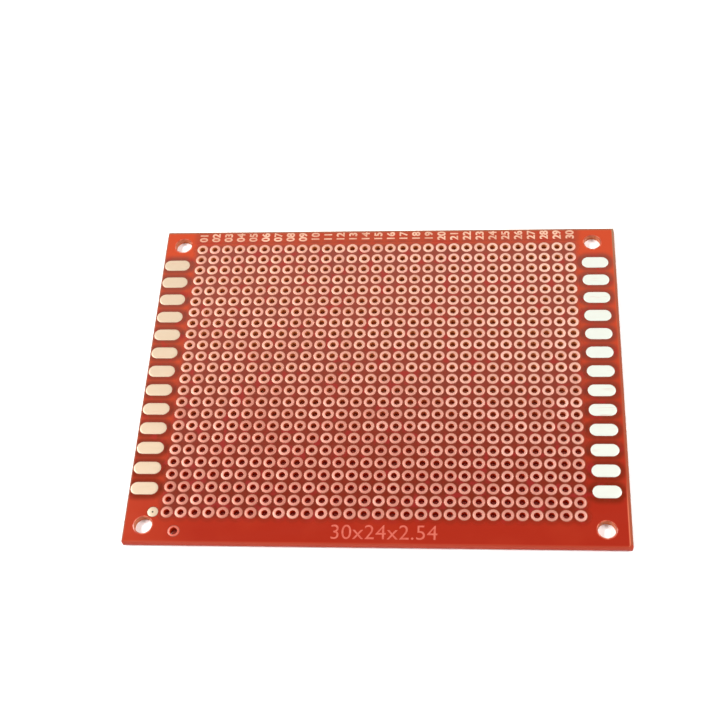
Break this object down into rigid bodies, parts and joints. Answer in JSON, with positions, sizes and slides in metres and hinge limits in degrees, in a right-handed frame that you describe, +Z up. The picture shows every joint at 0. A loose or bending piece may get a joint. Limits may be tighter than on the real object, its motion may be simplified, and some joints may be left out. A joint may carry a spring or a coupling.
{
  "type": "prototype board",
  "caption": "Single-sided perforated prototype board: a field of lead holes in round copper lands on a square grid, long solder pads along both short edges, and corner mounting holes.",
  "frame": {"origin": "centre of the board's outline, on its bare underside, which lies on the table", "axes": "+X along the board's length, +Y toward the numbered back edge, +Z up through the copper side"},
  "size_m": [0.09, 0.069, 0.0012],
  "materials": {
    "laminate": "matte brown phenolic paper, rough at the cut edges",
    "solder_mask": "glossy orange-red lacquer",
    "land_copper": "satin bare copper under clear flux",
    "pad_copper": "satin bright copper under clear flux"
  },
  "bodies": {
    "root": {"laminate": "laminate", "solder_mask": "solder_mask", "row_01_lands": "land_copper", "row_02_lands": "land_copper", "row_03_lands": "land_copper", "row_04_lands": "land_copper", "row_05_lands": "land_copper", "row_06_lands": "land_copper", "row_07_lands": "land_copper", "row_08_lands": "land_copper", "row_09_lands": "land_copper", "row_10_lands": "land_copper", "row_11_lands": "land_copper", "row_12_lands": "land_copper", "row_13_lands": "land_copper", "row_14_lands": "land_copper", "row_15_lands": "land_copper", "row_16_lands": "land_copper", "row_17_lands": "land_copper", "row_18_lands": "land_copper", "row_19_lands": "land_copper", "row_20_lands": "land_copper", "row_21_lands": "land_copper", "row_22_lands": "land_copper", "row_23_lands": "land_copper", "row_24_lands": "land_copper", "left_edge_pad_01": "pad_copper", "left_edge_pad_02": "pad_copper", "left_edge_pad_03": "pad_copper", "left_edge_pad_04": "pad_copper", "left_edge_pad_05": "pad_copper", "left_edge_pad_06": "pad_copper", "left_edge_pad_07": "pad_copper", "left_edge_pad_08": "pad_copper", "left_edge_pad_09": "pad_copper", "left_edge_pad_10": "pad_copper", "left_edge_pad_11": "pad_copper", "left_edge_pad_12": "pad_copper", "left_edge_pad_13": "pad_copper", "right_edge_pad_01": "pad_copper", "right_edge_pad_02": "pad_copper", "right_edge_pad_03": "pad_copper", "right_edge_pad_04": "pad_copper", "right_edge_pad_05": "pad_copper", "right_edge_pad_06": "pad_copper", "right_edge_pad_07": "pad_copper", "right_edge_pad_08": "pad_copper", "right_edge_pad_09": "pad_copper", "right_edge_pad_10": "pad_copper", "right_edge_pad_11": "pad_copper", "right_edge_pad_12": "pad_copper", "right_edge_pad_13": "pad_copper", "test_pad": "pad_copper", "locating_ring": "land_copper"}
  },
  "joints": []
}
